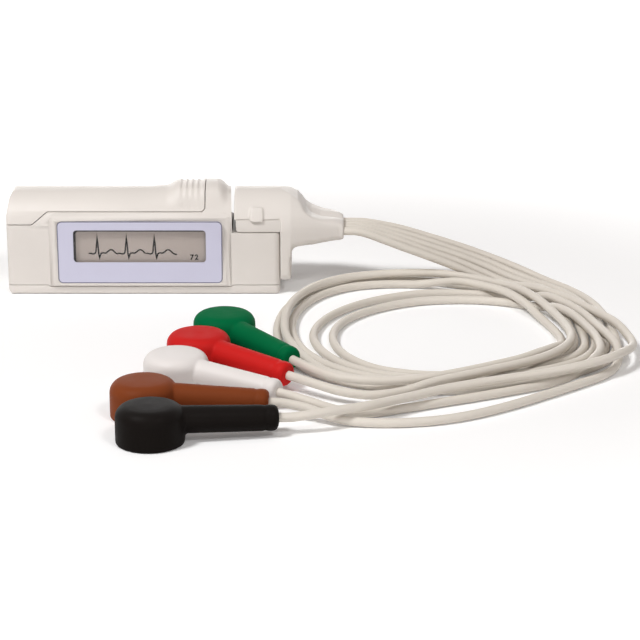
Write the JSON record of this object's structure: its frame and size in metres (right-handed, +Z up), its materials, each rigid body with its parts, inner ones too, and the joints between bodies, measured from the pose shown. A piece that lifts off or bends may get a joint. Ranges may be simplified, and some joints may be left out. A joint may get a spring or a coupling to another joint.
{
  "type": "holter monitor",
  "caption": "Pocket ECG recorder with a small display, a sliding battery door and a pull-off patient cable whose leads end in coloured snap connectors.",
  "frame": {"origin": "middle of the recorder's base, on the surface it stands on", "axes": "+X along the recorder towards its plug, +Y from the display to the back, +Z up"},
  "size_m": [0.1419, 0.1233, 0.0254],
  "materials": {
    "body_plastic": "fine-grained off-white moulding",
    "door_plastic": "fine-grained off-white moulding",
    "overlay_film": "tinted polyester film, satin",
    "window_clear": "clear polished",
    "lcd_glass": "grey-taupe reflective display glass",
    "carrier_plastic": "plain moulding",
    "elastomer": "layered contact elastomer",
    "circuit_board": "green solder resist",
    "chip_plastic": "moulded epoxy",
    "cell_wrap": "printed cell sleeve, bare of print",
    "nickel": "nickel-plated",
    "spring_steel": "bright wire",
    "gold": "gold-plated contact",
    "event_plastic": "soft blue cap",
    "select_plastic": "grey cap",
    "switch_plastic": "black switch body",
    "screw_steel": "plated screw",
    "header_plastic": "black connector body",
    "plug_plastic": "off-white moulding",
    "shroud_plastic": "off-white moulding",
    "relief_rubber": "soft off-white overmould",
    "lead_jacket": "soft off-white jacket",
    "snap_white": "satin moulding",
    "snap_brown": "satin moulding",
    "snap_green": "satin moulding",
    "snap_red": "satin moulding",
    "snap_black": "satin moulding",
    "socket_metal": "nickel-plated snap socket"
  },
  "bodies": {
    "recorder": {"main_housing": "body_plastic", "bottom_cover": "body_plastic", "display_overlay": "overlay_film", "display_window": "window_clear", "display_panel": "lcd_glass", "display_carrier": "carrier_plastic", "display_contact_strip": "elastomer", "main_board": "circuit_board", "processor_chip": "chip_plastic", "memory_chip": "chip_plastic", "ecg_frontend_chip": "chip_plastic", "battery_can": "cell_wrap", "battery_cap": "nickel", "battery_spring": "spring_steel", "battery_contact": "gold", "event_switch": "switch_plastic", "select_switch": "switch_plastic", "case_screw_1": "screw_steel", "case_screw_2": "screw_steel", "case_screw_3": "screw_steel", "case_screw_4": "screw_steel", "port_header": "header_plastic", "port_pins": "gold"},
    "battery_door": {"battery_door": "door_plastic"},
    "event_button": {"event_button": "event_plastic"},
    "select_button": {"select_button": "select_plastic"},
    "patient_cable": {"plug_hood": "plug_plastic", "plug_shroud": "shroud_plastic", "plug_contacts": "gold", "strain_relief": "relief_rubber", "lead_white": "lead_jacket", "lead_brown": "lead_jacket", "lead_green": "lead_jacket", "lead_red": "lead_jacket", "lead_black": "lead_jacket", "snap_white": "snap_white", "snap_brown": "snap_brown", "snap_green": "snap_green", "snap_red": "snap_red", "snap_black": "snap_black", "socket_white": "socket_metal", "socket_brown": "socket_metal", "socket_green": "socket_metal", "socket_red": "socket_metal", "socket_black": "socket_metal"}
  },
  "joints": [
    {"name": "door_slide", "type": "slide", "parent": "recorder", "child": "battery_door", "axis": [-1, 0, 0], "range_m": [0, 0.046]},
    {"name": "cable_pull", "type": "slide", "parent": "recorder", "child": "patient_cable", "axis": [0, 0, 1], "range_m": [0, 0.012]},
    {"name": "event_press", "type": "slide", "parent": "recorder", "child": "event_button", "axis": [0, -1, 0], "range_m": [0, 0.0005], "stiffness_N_per_m": 3000},
    {"name": "select_press", "type": "slide", "parent": "recorder", "child": "select_button", "axis": [0, -1, 0], "range_m": [0, 0.0005], "stiffness_N_per_m": 3000}
  ]
}
